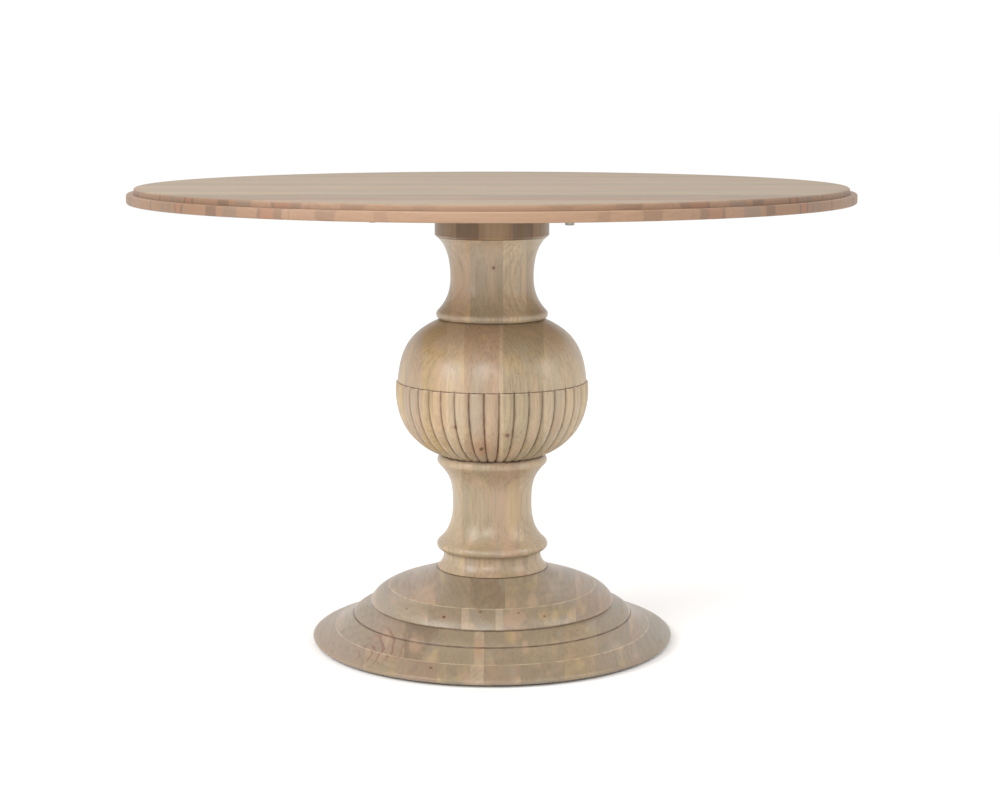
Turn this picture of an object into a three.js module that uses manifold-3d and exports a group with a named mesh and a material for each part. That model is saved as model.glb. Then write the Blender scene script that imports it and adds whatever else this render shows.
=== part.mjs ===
// A round pedestal table: a boarded top on a turned column, standing on a domed, moulded base.
// Millimetres, +Z up, the floor at z = 0 and the table's axis on Z; the front is towards -Y.
import * as THREE from "three";
import { mergeVertices } from "three/addons/utils/BufferGeometryUtils.js";
import Module from "manifold-3d";

const wasm = await Module();
wasm.setup();

// Overall sizes.
const tableHeight = 787;
const topDiameter = 1219.2;
const ballDiameter = 331.2;
const plinthDiameter = 623.2;

// Fits: the gap left where two pieces meet, and the clearance round whatever sits in a hole.
const gap = 0.3;
const clearance = 0.3;

// The top: its edge is routed back in one step.
const topThickness = 25.5;
const stepWidth = 12.5;
const stepHeight = 9.5;
const arris = 2;
// Usual board widths from front to back, stretched together to fill the top.
const boardWidths = [64.6, 60, 73, 92, 78, 82, 72, 58, 92, 86, 78, 92, 70, 82, 65, 74.6];

// The mounting plate under the top.
const plateSide = 380;
const plateThickness = 22;
const plateTurn = 12.3;
const plateCorner = 18;

// The column: radii of the turned shapes and heights of the pieces that keep their height.
const collarRadius = 97.3;
const collarHeight = 39;
const collarChamfer = 3;
const neckTopRadius = 93;
const upperWaistRadius = 71;
const lowerWaistRadius = 68.4;
// Each neck is waisted; where the waist stands is a share of the height between its mouldings.
const upperWaistShare = 0.5;
const lowerWaistShare = 0.47;
// A bead swells past its two edges.
const beadHeight = 15;
const beadRadius = 92;
const beadSwell = 4.7;
const topBeadHeight = 12.2;
const topBeadTopRadius = 92;
const topBeadRadius = 93.4;
const topBeadSwell = 2.7;
const quirk = 2.5;
const lipHeight = 15.8;
const lipTopRadius = 90.4;
const lipRadius = 92.4;
const lipSwell = 6;
const lipRelief = 0.9;
const ballHeight = 235;
const ballFootRadius = 90.5;
const ballFootEdge = 1;
const ballShoulderRadius = 88.5;
const ballEquatorHeight = 109;
const ribTopHeight = 128;
const ribTopInset = 0.9;
const ribCount = 40;
const ribStandOut = 2.6;
const grooveDepth = 5;
const footGrooveDepth = 7.5;
const footNeckRadius = 85.7;
const footRingHeight = 33;
const footRingRadius = 95.5;
// The upper neck's share of the height that the two necks take up between them.
const upperNeckShare = 0.4575;

// The base: two layers of dome on two layers of plinth.
const domeUpperThickness = 31.4;
const domeLowerThickness = 29;
const plinthUpperThickness = 39.4;
const plinthLowerThickness = 24.2;
const domeRadius = 211.3;
const domeEdge = 2.3;
const domeArris = 1;
const ringLedge = 1;
const plinthNeckRadius = 209;
const plinthNeckHeight = 2.2;
const plinthGrooveRadius = 242.3;
const plinthGrooveDrop = 19.6;
const plinthGroove = 1.6;
// Where the shoulder above the groove bends, as a share of its run.
const plinthShoulder = 0.48;
const rimHeight = 7.5;
const rimUnderCut = 8;

// The two control points of each long curve: shares of its run in radius and in height.
const leans = {
  upperNeckFoot: [[0.72, 0.29], [1, 0.63]],
  upperNeckHead: [[0, 0.38], [0.2, 0.77]],
  lowerNeckFoot: [[0.72, 0.23], [1, 0.56]],
  lowerNeckHead: [[0, 0.51], [0.14, 0.69]],
  ballFoot: [[0.74, 0.19], [1, 0.63]],
  ballShoulder: [[0.07, 0.5], [0.26, 0.78]],
  footRing: [[0.66, 0.18], [1.59, 0.58]],
  dome: [[0.134, 0.5725], [0.597, 0.541]],
  plinth: [[0.08, 0.25], [0.54, 0.23]],
  rim: [[0.5, 0], [1, 0.4]],
};

// Joinery and hardware.
const spigotRadius = 25;
const spigotLength = 22;
const dowelRadius = 5;
const dowelLength = 34;
const dowelCircle = 60;
const dowelCount = 3;
const rodRadius = 6;
const rodNutAcross = 18;
const rodNutHeight = 10;
const rodWasherRadius = 14;
const rodWasherThickness = 2.5;
const rodSpare = 1.5;
const boltInset = 26.2;
const boltCircle = (plateSide / 2 - boltInset) * Math.SQRT2;
const boltRadius = 4;
const boltReach = 12;
const boltHeadAcross = 13;
const boltHeadHeight = 5.3;
const washerRadius = 8;
const washerThickness = 1.6;
const insertRadius = 6;
const insertLength = 15;
const screwCircle = 62;
const screwRadius = 3;
const screwHeadRadius = 6;
const screwHeadHeight = 3.5;
const screwReach = 30;
const fixingCount = 4;
const glideCount = 6;
const glideInset = 49.6;
const glideCircle = plinthDiameter / 2 - glideInset;
const glideRadius = 15;
const glideThickness = 7;
const glideProud = 4;
const glideArris = 1;
const glidePinRadius = 2;
const glidePinLength = 12;

// Facets round each turned piece.
const topFacets = 96;
const baseFacets = 60;
const neckFacets = 40;
const hardwareFacets = 12;
const curveSteps = 4;
const longCurveSteps = 8;
const beadSteps = 2;
const ballSteps = 6;
const beadLean = 0.3;

// Levels from the floor up. Each piece stops one gap short of the piece above it.
const plinthLowerBottom = glideProud;
const plinthUpperBottom = plinthLowerBottom + plinthLowerThickness;
const domeLowerBottom = plinthUpperBottom + plinthUpperThickness;
const domeUpperBottom = domeLowerBottom + domeLowerThickness;
const footRingBottom = domeUpperBottom + domeUpperThickness;
const lowerNeckBottom = footRingBottom + footRingHeight;
const topBottom = tableHeight - topThickness;
const plateBottom = topBottom - plateThickness;
const collarBottom = plateBottom - collarHeight;
const neckHeights = collarBottom - lowerNeckBottom - ballHeight;
const upperNeckBottom = collarBottom - neckHeights * upperNeckShare;
const ballBottom = upperNeckBottom - ballHeight;

const woods = { top: 0xbeae98, column: 0xb4a082, base: 0x9b8a70, plate: 0xb09a78 };
const wood = (colour) => new THREE.MeshStandardMaterial({ color: colour, roughness: 0.55 });
const metal = (colour) =>
  new THREE.MeshStandardMaterial({ color: colour, roughness: 0.35, metalness: 1 });
const nylon = () => new THREE.MeshStandardMaterial({ color: 0x3a3733, roughness: 0.6 });

// Solids and meshes.

const mix = (a, b, share) => a + (b - a) * share;

function solidOf(geometry) {
  const bare = geometry.clone();
  bare.deleteAttribute("normal");
  bare.deleteAttribute("uv");
  const merged = mergeVertices(bare, 1e-4);
  return new wasm.Manifold(
    new wasm.Mesh({
      numProp: 3,
      vertProperties: new Float32Array(merged.attributes.position.array),
      triVerts: new Uint32Array(merged.index.array),
    }),
  );
}

function geometryOf(solid) {
  const made = solid.getMesh();
  const geometry = new THREE.BufferGeometry();
  geometry.setAttribute("position", new THREE.BufferAttribute(made.vertProperties, 3));
  geometry.setIndex(new THREE.BufferAttribute(made.triVerts, 1));
  geometry.computeVertexNormals();
  return geometry;
}

// The outline runs from the axis at the bottom to the axis at the top, as [radius, z] points.
function turned(outline, facets) {
  const points = outline.map(([radius, z]) => new THREE.Vector2(radius, z));
  return new THREE.LatheGeometry(points, facets).rotateX(Math.PI / 2);
}

function rod(radius, bottom, top, facets = hardwareFacets) {
  return solidOf(
    turned([[0, bottom], [radius, bottom], [radius, top], [0, top]], facets),
  );
}

function slab(low, high) {
  const size = new THREE.Vector3().subVectors(high, low);
  const middle = new THREE.Vector3().addVectors(low, high).multiplyScalar(0.5);
  return solidOf(
    new THREE.BoxGeometry(size.x, size.y, size.z).translate(middle.x, middle.y, middle.z),
  );
}

function layer(solid, bottom, top) {
  const reach = topDiameter + plinthDiameter;
  return solid.intersect(
    slab(new THREE.Vector3(-reach, -reach, bottom), new THREE.Vector3(reach, reach, top)),
  );
}

function hexPrism(across, bottom, top) {
  return rod(across / Math.sqrt(3), bottom, top, 6);
}

// A cubic curve from one outline point to another, leaving out the first.
function curve(from, to, lean, steps = curveSteps) {
  const [lean1, lean2] = lean.map(([across, up]) => [mix(from[0], to[0], across), mix(from[1], to[1], up)]);
  return path(from, lean1, lean2, to, steps);
}

// The rounded profile of a bead, swelling out past both its edges.
function bead(from, to, swell) {
  const lean1 = [from[0] + swell, mix(from[1], to[1], beadLean)];
  const lean2 = [to[0] + swell, mix(to[1], from[1], beadLean)];
  return path(from, lean1, lean2, to, beadSteps);
}

function path(...pointsAndSteps) {
  const steps = pointsAndSteps.pop();
  const points = pointsAndSteps.map(([radius, z]) => new THREE.Vector2(radius, z));
  return new THREE.CubicBezierCurve(...points).getPoints(steps).slice(1).map(({ x, y }) => [x, y]);
}

function onCircle(radius, turn, solid) {
  const angle = THREE.MathUtils.degToRad(turn);
  return solid.translate([radius * Math.cos(angle), radius * Math.sin(angle), 0]);
}

const table = new THREE.Group();

function add(name, solid, material) {
  const mesh = new THREE.Mesh(geometryOf(solid), material);
  mesh.name = name;
  table.add(mesh);
}

// Where the four corner fixings and the glides stand, as angles in degrees from +X.
const turnsRound = (count, first) => Array.from({ length: count }, (_, i) => first + (i * 360) / count);
const halfCorner = 45;
const cornerTurns = turnsRound(fixingCount, -halfCorner - plateTurn);
const screwTurns = turnsRound(fixingCount, -plateTurn);
const glideTurns = turnsRound(glideCount, 0);
const dowelTurns = turnsRound(dowelCount, 90);

const rodBore = rod(rodRadius + clearance, -gap, tableHeight - topThickness + gap);

// The top boards.
function topDisc() {
  const lower = topDiameter / 2;
  const upper = lower - stepWidth;
  const ledge = tableHeight - stepHeight;
  return solidOf(
    turned(
      [
        [0, topBottom],
        [lower - arris, topBottom],
        [lower, topBottom + arris],
        [lower, ledge - arris],
        [lower - arris, ledge],
        [upper, ledge],
        [upper, tableHeight - arris],
        [upper - arris, tableHeight],
        [0, tableHeight],
      ],
      topFacets,
    ),
  );
}

const insertTop = topBottom + gap + insertLength;
let boardedTop = topDisc();
for (const turn of cornerTurns) {
  const pocket = rod(insertRadius + clearance, topBottom - gap, insertTop + gap);
  boardedTop = boardedTop.subtract(onCircle(boltCircle, turn, pocket));
}

const boardStretch = topDiameter / boardWidths.reduce((sum, width) => sum + width, 0);
let boardFront = -topDiameter / 2;
boardWidths.forEach((width, i) => {
  const boardBack = boardFront + width * boardStretch;
  const front = i === 0 ? boardFront - gap : boardFront + gap / 2;
  const back = i === boardWidths.length - 1 ? boardBack + gap : boardBack - gap / 2;
  const strip = slab(
    new THREE.Vector3(-topDiameter, front, 0),
    new THREE.Vector3(topDiameter, back, tableHeight + gap),
  );
  add(`top_board_${i + 1}`, boardedTop.intersect(strip), wood(woods.top));
  boardFront = boardBack;
});

// The mounting plate, with a counterbore for the rod's upper nut.
const nutPocketDepth = rodWasherThickness + rodNutHeight + 3 * gap + rodSpare;
const plateTop = topBottom - gap;
const nutPocketFloor = plateTop - nutPocketDepth;
const nutPocketRadius = rodWasherRadius + 3 * clearance;

function mountingPlate() {
  const half = plateSide / 2;
  const cut = half - plateCorner;
  const outline = new THREE.Shape();
  outline.moveTo(-cut, -half);
  [[cut, -half], [half, -cut], [half, cut], [cut, half], [-cut, half], [-half, cut], [-half, -cut]]
    .forEach(([x, y]) => outline.lineTo(x, y));
  const board = new THREE.ExtrudeGeometry(outline, {
    depth: plateTop - plateBottom,
    bevelEnabled: false,
  });
  board.rotateZ(THREE.MathUtils.degToRad(-plateTurn)).translate(0, 0, plateBottom);
  let plate = solidOf(board).subtract(rodBore);
  plate = plate.subtract(rod(nutPocketRadius, nutPocketFloor, plateTop + gap));
  const boltHole = rod(boltRadius + clearance, plateBottom - gap, plateTop + gap);
  for (const turn of cornerTurns) plate = plate.subtract(onCircle(boltCircle, turn, boltHole));
  for (const turn of screwTurns) {
    plate = plate.subtract(onCircle(screwCircle, turn, collarScrew(clearance)));
  }
  return plate;
}

// A countersunk screw, its head just under the plate's top; grown by an allowance, it cuts its own hole.
function collarScrew(allowance) {
  const head = plateTop - gap;
  const tip = plateBottom - screwReach;
  const shank = screwRadius + allowance;
  const rim = screwHeadRadius + allowance;
  return solidOf(
    turned(
      [
        [0, tip - allowance],
        [shank, tip + screwRadius - allowance],
        [shank, head - screwHeadHeight - allowance],
        [rim, head - allowance],
        [rim, head + (allowance ? 2 * gap : 0)],
        [0, head + (allowance ? 2 * gap : 0)],
      ],
      hardwareFacets,
    ),
  );
}

add("mounting_plate", mountingPlate(), wood(woods.plate));

// Bolts, washers and inserts that hold the top to the plate, and screws that hold the plate to the collar.
const washerTop = plateBottom - gap;
const headTop = washerTop - washerThickness - gap;

cornerTurns.forEach((turn, i) => {
  const place = (solid) => onCircle(boltCircle, turn, solid);
  const bolt = hexPrism(boltHeadAcross, headTop - boltHeadHeight, headTop)
    .add(rod(boltRadius, headTop - boltHeadHeight / 2, topBottom + boltReach));
  const washer = rod(washerRadius, washerTop - washerThickness, washerTop)
    .subtract(rod(boltRadius + clearance, headTop, plateBottom));
  const insert = rod(insertRadius, topBottom + gap, insertTop)
    .subtract(rod(boltRadius + clearance, topBottom, insertTop + gap));
  add(`top_bolt_${i + 1}`, place(bolt), metal(0x6d6e70));
  add(`top_washer_${i + 1}`, place(washer), metal(0x9a9b9c));
  add(`threaded_insert_${i + 1}`, place(insert), metal(0xb49a5a));
});
screwTurns.forEach((turn, i) => {
  add(`collar_screw_${i + 1}`, onCircle(screwCircle, turn, collarScrew(0)), metal(0xb0a070));
});

// The column. Each piece has the rod's bore, and takes the spigot of the piece next to it.
const socket = (bottom, top) => rod(spigotRadius + clearance, bottom, top, neckFacets);

function collar() {
  const top = plateBottom - gap;
  const block = solidOf(
    turned(
      [
        [0, collarBottom],
        [collarRadius - collarChamfer, collarBottom],
        [collarRadius, collarBottom + collarChamfer],
        [collarRadius, top],
        [0, top],
      ],
      neckFacets,
    ),
  );
  let bored = block.subtract(rodBore);
  bored = bored.subtract(socket(collarBottom - gap, collarBottom + spigotLength + gap));
  for (const turn of screwTurns) {
    bored = bored.subtract(onCircle(screwCircle, turn, collarScrew(clearance)));
  }
  return bored;
}

function upperNeck() {
  const top = collarBottom - gap;
  const beadTop = upperNeckBottom + beadHeight;
  const beadFoot = [beadRadius, upperNeckBottom];
  const beadHead = [beadRadius, beadTop];
  const waist = [upperWaistRadius, mix(upperNeckBottom, top, upperWaistShare)];
  return solidOf(
    turned(
      [
        [0, upperNeckBottom - spigotLength],
        [spigotRadius, upperNeckBottom - spigotLength],
        [spigotRadius, upperNeckBottom],
        beadFoot,
        ...bead(beadFoot, beadHead, beadSwell),
        ...curve(beadHead, waist, leans.upperNeckFoot),
        ...curve(waist, [neckTopRadius, top], leans.upperNeckHead),
        [spigotRadius, top],
        [spigotRadius, top + spigotLength],
        [0, top + spigotLength],
      ],
      neckFacets,
    ),
  ).subtract(rodBore);
}

function lowerNeck() {
  const top = ballBottom - gap;
  const lipFoot = [lipRadius, lowerNeckBottom + lipRelief];
  const lipHead = [lipTopRadius, lipFoot[1] + lipHeight];
  const beadHead = [topBeadTopRadius, top - quirk];
  const beadFoot = [topBeadRadius, beadHead[1] - topBeadHeight];
  const waist = [lowerWaistRadius, mix(lipHead[1], beadFoot[1], lowerWaistShare)];
  const into = spigotLength + footRingHeight;
  return solidOf(
    turned(
      [
        [0, lowerNeckBottom - into],
        [spigotRadius, lowerNeckBottom - into],
        [spigotRadius, lowerNeckBottom],
        [footNeckRadius, lowerNeckBottom],
        lipFoot,
        ...bead(lipFoot, lipHead, lipSwell),
        ...curve(lipHead, waist, leans.lowerNeckFoot),
        ...curve(waist, beadFoot, leans.lowerNeckHead),
        ...bead(beadFoot, beadHead, topBeadSwell),
        [topBeadTopRadius, top],
        [spigotRadius, top],
        [spigotRadius, top + spigotLength],
        [0, top + spigotLength],
      ],
      neckFacets,
    ),
  ).subtract(rodBore);
}

// The ball: plain above the incised line, ribbed below it, the ribs meeting in grooves that deepen downwards.
function ball() {
  const top = upperNeckBottom - gap;
  const radius = ballDiameter / 2;
  const equator = [radius, ballBottom + ballEquatorHeight];
  const ribTop = ballBottom + ribTopHeight;
  const foot = [ballFootRadius, ballBottom + ballFootEdge];
  const ribCrown = [radius - ribTopInset, ribTop - ribTopInset];
  const shoulder = [ribCrown[0] - ribStandOut, ribTop];
  const skin = turned(
    [
      [0, ballBottom],
      [ballFootRadius - ballFootEdge, ballBottom],
      foot,
      ...curve(foot, equator, leans.ballFoot, ballSteps),
      ribCrown,
      shoulder,
      ...curve(shoulder, [ballShoulderRadius, top], leans.ballShoulder, ballSteps),
      [0, top],
    ],
    2 * ribCount,
  );
  const spots = skin.attributes.position;
  for (let i = 0; i < spots.count; i += 1) {
    const spot = new THREE.Vector3().fromBufferAttribute(spots, i);
    const reach = Math.hypot(spot.x, spot.y);
    const turn = Math.atan2(spot.x, -spot.y) / (Math.PI / ribCount);
    const inGroove = Math.abs(Math.round(turn)) % 2 === 1;
    if (inGroove && reach > ballFootRadius - ballFootEdge / 2 && spot.z < ribTop - ribTopInset / 2) {
      const rise = Math.min(1, (spot.z - ballBottom) / ballEquatorHeight);
      const deep = mix(footGrooveDepth, grooveDepth, rise);
      spots.setXY(i, spot.x * (1 - deep / reach), spot.y * (1 - deep / reach));
    }
  }
  return solidOf(skin)
    .subtract(rodBore)
    .subtract(socket(ballBottom - gap, ballBottom + spigotLength + gap))
    .subtract(socket(upperNeckBottom - spigotLength - gap, upperNeckBottom + gap));
}

const dowelBottom = footRingBottom - dowelLength / 2;
const dowelTop = footRingBottom + dowelLength / 2;
const dowelHole = rod(dowelRadius + clearance, dowelBottom - gap, dowelTop + gap);

function footRing() {
  const top = lowerNeckBottom - gap;
  let ring = solidOf(
    turned(
      [
        [0, footRingBottom],
        [footRingRadius, footRingBottom],
        ...curve([footRingRadius, footRingBottom], [footNeckRadius, top], leans.footRing),
        [0, top],
      ],
      neckFacets,
    ),
  ).subtract(socket(footRingBottom - gap, top + gap));
  for (const turn of dowelTurns) ring = ring.subtract(onCircle(dowelCircle, turn, dowelHole));
  return ring;
}

add("column_collar", collar(), wood(woods.column));
add("upper_neck", upperNeck(), wood(woods.column));
add("ball", ball(), wood(woods.column));
add("lower_neck", lowerNeck(), wood(woods.column));
add("foot_ring", footRing(), wood(woods.column));

// The base.
function dome() {
  const edgeTop = domeLowerBottom + domeEdge;
  const top = footRingBottom - gap;
  let body = solidOf(
    turned(
      [
        [0, domeLowerBottom],
        [domeRadius - domeArris, domeLowerBottom],
        [domeRadius, domeLowerBottom + domeArris],
        [domeRadius, edgeTop],
        ...curve([domeRadius, edgeTop], [footRingRadius + ringLedge, top], leans.dome, longCurveSteps),
        [0, top],
      ],
      baseFacets,
    ),
  ).subtract(rodBore);
  body = body.subtract(socket(footRingBottom - spigotLength - gap, footRingBottom + gap));
  for (const turn of dowelTurns) body = body.subtract(onCircle(dowelCircle, turn, dowelHole));
  return body;
}

const rodPocketTop = plinthLowerBottom + nutPocketDepth;

function plinth() {
  const top = domeLowerBottom - gap;
  const rim = plinthDiameter / 2;
  const grooveLevel = top - plinthGrooveDrop;
  const bottom = plinthLowerBottom;
  const rimFoot = [rim - rimUnderCut, bottom];
  const rimTop = [rim, bottom + rimHeight];
  const grooveFoot = [plinthGrooveRadius, grooveLevel - plinthGroove];
  const grooveHead = [plinthGrooveRadius - 2 * plinthGroove, grooveLevel + plinthGroove];
  const shoulder = [
    mix(plinthNeckRadius, plinthGrooveRadius, plinthShoulder),
    mix(grooveLevel, top, plinthShoulder),
  ];
  let body = solidOf(
    turned(
      [
        [0, bottom],
        rimFoot,
        ...curve(rimFoot, rimTop, leans.rim),
        ...curve(rimTop, grooveFoot, leans.plinth, longCurveSteps),
        [plinthGrooveRadius - plinthGroove, grooveLevel],
        grooveHead,
        shoulder,
        [plinthNeckRadius, top - plinthNeckHeight],
        [plinthNeckRadius, top],
        [0, top],
      ],
      baseFacets,
    ),
  ).subtract(rodBore);
  body = body.subtract(rod(nutPocketRadius, bottom - gap, rodPocketTop));
  for (const turn of glideTurns) body = body.subtract(onCircle(glideCircle, turn, glide(clearance)));
  return body;
}

// A glide: a round pad with a pin; grown by an allowance, it cuts its own recess.
function glide(allowance) {
  const top = glideThickness + allowance;
  const bottom = allowance ? -gap : 0;
  const pad = glideRadius + allowance;
  const pin = glidePinRadius + allowance;
  return solidOf(
    turned(
      [
        [0, bottom],
        [pad - glideArris, bottom],
        [pad, bottom + glideArris],
        [pad, top],
        [pin, top],
        [pin, top + glidePinLength - glidePinRadius],
        [0, top + glidePinLength],
      ],
      hardwareFacets,
    ),
  );
}

const domeBody = dome();
const plinthBody = plinth();
add("dome_upper", layer(domeBody, domeUpperBottom, footRingBottom), wood(woods.base));
add("dome_lower", layer(domeBody, domeLowerBottom, domeUpperBottom - gap), wood(woods.base));
add("plinth_upper", layer(plinthBody, plinthUpperBottom, domeLowerBottom), wood(woods.base));
add("plinth_lower", layer(plinthBody, plinthLowerBottom, plinthUpperBottom - gap), wood(woods.base));

glideTurns.forEach((turn, i) => {
  add(`glide_${i + 1}`, onCircle(glideCircle, turn, glide(0)), nylon());
});
dowelTurns.forEach((turn, i) => {
  const dowel = rod(dowelRadius, dowelBottom, dowelTop);
  add(`dowel_${i + 1}`, onCircle(dowelCircle, turn, dowel), wood(woods.plate));
});

// The tie rod clamps the pedestal between two nuts.
const upperWasherBottom = nutPocketFloor + gap;
const upperNutBottom = upperWasherBottom + rodWasherThickness + gap;
const lowerWasherTop = rodPocketTop - gap;
const lowerNutTop = lowerWasherTop - rodWasherThickness - gap;
const nutBore = rod(rodRadius + clearance, 0, tableHeight);

add(
  "tie_rod",
  rod(rodRadius, lowerNutTop - rodNutHeight - rodSpare / 2, upperNutBottom + rodNutHeight + rodSpare / 2),
  metal(0x8c8d8f),
);
const rodWasher = (bottom) =>
  rod(rodWasherRadius, bottom, bottom + rodWasherThickness).subtract(nutBore);
const rodNut = (bottom) => hexPrism(rodNutAcross, bottom, bottom + rodNutHeight).subtract(nutBore);
add("tie_washer_upper", rodWasher(upperWasherBottom), metal(0x8c8d8f));
add("tie_nut_upper", rodNut(upperNutBottom), metal(0x8c8d8f));
add("tie_washer_lower", rodWasher(lowerWasherTop - rodWasherThickness), metal(0x8c8d8f));
add("tie_nut_lower", rodNut(lowerNutTop - rodNutHeight), metal(0x8c8d8f));

export default table;
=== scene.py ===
import math
import random

import bmesh
import bpy
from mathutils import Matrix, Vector
from mathutils.geometry import interpolate_bezier


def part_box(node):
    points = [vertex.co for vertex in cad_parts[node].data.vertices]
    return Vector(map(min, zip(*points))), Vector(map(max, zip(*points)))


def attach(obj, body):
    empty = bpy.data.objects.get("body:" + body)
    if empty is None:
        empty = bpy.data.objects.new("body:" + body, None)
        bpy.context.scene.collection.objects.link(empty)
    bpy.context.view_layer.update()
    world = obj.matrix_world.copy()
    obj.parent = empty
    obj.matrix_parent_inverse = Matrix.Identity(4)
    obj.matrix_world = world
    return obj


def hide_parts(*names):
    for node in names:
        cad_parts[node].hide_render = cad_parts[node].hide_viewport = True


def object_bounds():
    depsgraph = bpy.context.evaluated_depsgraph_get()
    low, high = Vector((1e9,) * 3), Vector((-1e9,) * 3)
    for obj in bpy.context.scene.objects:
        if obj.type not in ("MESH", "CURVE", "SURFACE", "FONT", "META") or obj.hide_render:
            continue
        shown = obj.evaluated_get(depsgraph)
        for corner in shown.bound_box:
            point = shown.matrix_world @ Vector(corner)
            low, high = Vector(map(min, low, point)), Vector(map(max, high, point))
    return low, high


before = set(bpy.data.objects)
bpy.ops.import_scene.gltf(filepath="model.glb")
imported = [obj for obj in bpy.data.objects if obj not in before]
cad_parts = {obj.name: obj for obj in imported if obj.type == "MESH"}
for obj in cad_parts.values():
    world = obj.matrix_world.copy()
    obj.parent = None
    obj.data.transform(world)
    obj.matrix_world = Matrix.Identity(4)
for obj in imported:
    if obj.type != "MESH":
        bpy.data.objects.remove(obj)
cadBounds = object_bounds()
mm = 0.001
print("frame loaded:", len(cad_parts), "nodes")

# the camera and the light

cameraSet = {
    "lens": 71.56,
    "place": (13.6 * mm, -3.3796, 0.9402),
    "tilt": 81.364,  # degrees from straight down
}
lens = bpy.data.cameras.new("camera")
lens.lens = cameraSet["lens"]
camera = bpy.data.objects.new("camera", lens)
camera.location = cameraSet["place"]
camera.rotation_euler = (math.radians(cameraSet["tilt"]), 0, 0)
bpy.context.collection.objects.link(camera)
bpy.context.scene.camera = camera
bpy.context.scene.view_settings.view_transform = "Standard"

lightSet = {
    "sky": 1.04,
    "aim": (0, 0, 0.45),
    "boxes": [
        # name, azimuth from the camera's side, height, distance, width, tall, watts
        ("leftBox", -54, 1.7, 2.6, 0.9, 1.6, 38),
        ("rightBox", 70, 1.6, 2.6, 0.8, 1.6, 18),
        ("frontBox", -10, 2.1, 3.6, 1.4, 1.0, 46),
    ],
    "overhead": {"place": (-0.3, -0.2, 2.6), "aim": (0, 0, 0.3), "size": 1.6, "watts": 26},
}
sky = bpy.data.worlds.new("studio")
sky.use_nodes = True
sky.node_tree.nodes["Background"].inputs["Color"].default_value = (1, 1, 1, 1)
sky.node_tree.nodes["Background"].inputs["Strength"].default_value = lightSet["sky"]
bpy.context.scene.world = sky


def softBox(name, place, aim, width, tall, watts):
    lamp = bpy.data.lights.new(name, "AREA")
    lamp.shape = "RECTANGLE"
    lamp.size = width
    lamp.size_y = tall
    lamp.energy = watts
    held = bpy.data.objects.new(name, lamp)
    held.location = place
    held.rotation_euler = (Vector(aim) - Vector(place)).to_track_quat("-Z", "Y").to_euler()
    bpy.context.collection.objects.link(held)


for name, azimuth, height, distance, width, tall, watts in lightSet["boxes"]:
    turnBy = math.radians(azimuth)
    spot = (math.sin(turnBy) * distance, -math.cos(turnBy) * distance, height)
    softBox(name, spot, lightSet["aim"], width, tall, watts)
over = lightSet["overhead"]
softBox("overhead", over["place"], over["aim"], over["size"], over["size"], over["watts"])


# shader helpers

class Wire:
    # one socket of a node tree; arithmetic on it adds Math nodes

    def __init__(self, tree, socket):
        self.tree = tree
        self.socket = socket

    def node(self, kind, settings=None, sockets=None, out=0):
        made = self.tree.nodes.new("ShaderNode" + kind)
        for key, value in (settings or {}).items():
            if key == "stops":
                setStops(made.color_ramp, value)
            else:
                setattr(made, key, value)
        for key, value in (sockets or {}).items():
            if isinstance(value, Wire):
                self.tree.links.new(value.socket, made.inputs[key])
            else:
                made.inputs[key].default_value = value
        return Wire(self.tree, made.outputs[out])

    def maths(self, operation, a, b=0.0):
        return self.node("Math", {"operation": operation}, {0: a, 1: b})

    def __add__(self, other):
        return self.maths("ADD", self, other)

    def __radd__(self, other):
        return self.maths("ADD", other, self)

    def __sub__(self, other):
        return self.maths("SUBTRACT", self, other)

    def __rsub__(self, other):
        return self.maths("SUBTRACT", other, self)

    def __mul__(self, other):
        return self.maths("MULTIPLY", self, other)

    def __rmul__(self, other):
        return self.maths("MULTIPLY", other, self)

    def __truediv__(self, other):
        return self.maths("DIVIDE", self, other)

    def __pow__(self, other):
        return self.maths("POWER", self, other)

    def above(self, low, high):
        # 0 under low, 1 over high, smooth between
        return self.node(
            "MapRange",
            {"interpolation_type": "SMOOTHSTEP"},
            {"Value": self, "From Min": low, "From Max": high},
        )

    def mixed(self, other, share):
        # this colour going towards another
        return self.node("Mix", {"data_type": "RGBA"}, {0: share, 6: self, 7: other}, out=2)

    def tinted(self, low, high):
        # from one colour to another as this value goes from 0 to 1
        return self.node("Mix", {"data_type": "RGBA"}, {0: self, 6: low, 7: high}, out=2)

    def parts(self, kind):
        # the separate channels of a vector or a colour
        split = self.node(kind, sockets={0: self})
        return [Wire(self.tree, socket) for socket in split.socket.node.outputs[:3]]


def setStops(ramp, stops):
    # stops are (place, colour); the first and last are the ramp's own two
    ramp.interpolation = "CONSTANT"
    while len(ramp.elements) > 1:
        ramp.elements.remove(ramp.elements[-1])
    for i, (place, colour) in enumerate(stops):
        stop = ramp.elements[0] if i == 0 else ramp.elements.new(place)
        stop.position = place
        stop.color = colour


def colour(red, green, blue):
    # a display colour, 0 to 255, as the shader's linear one
    def linear(value):
        share = value / 255
        return share / 12.92 if share <= 0.04045 else ((share + 0.055) / 1.055) ** 2.4

    return (linear(red), linear(green), linear(blue), 1)


def newMaterial(name):
    made = bpy.data.materials.new(name)
    made.use_nodes = True
    tree = made.node_tree
    shader = tree.nodes["Principled BSDF"]
    return made, tree, shader


# the wood

tones = {
    "taupe": colour(163, 145, 119),
    "greenTaupe": colour(163, 147, 119),
    "greyTaupe": colour(158, 144, 122),
    "pink": colour(171, 147, 122),
    "rose": colour(172, 145, 121),
    "light": colour(184, 163, 136),
    "brown": colour(155, 134, 108),
    "yellow": colour(172, 149, 112),
    "beige": colour(173, 154, 127),
    "tan": colour(158, 128, 96),
    # the darkest tone, which paints the shadow that the top casts on the collar and on the plate under it
    "shade": colour(128, 100, 72),
    "clay": colour(165, 143, 115),
    "clayPink": colour(168, 142, 116),
    "clayGrey": colour(160, 141, 115),
    "clayDark": colour(156, 135, 108),
    "orange": colour(168, 134, 104),
}

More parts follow.
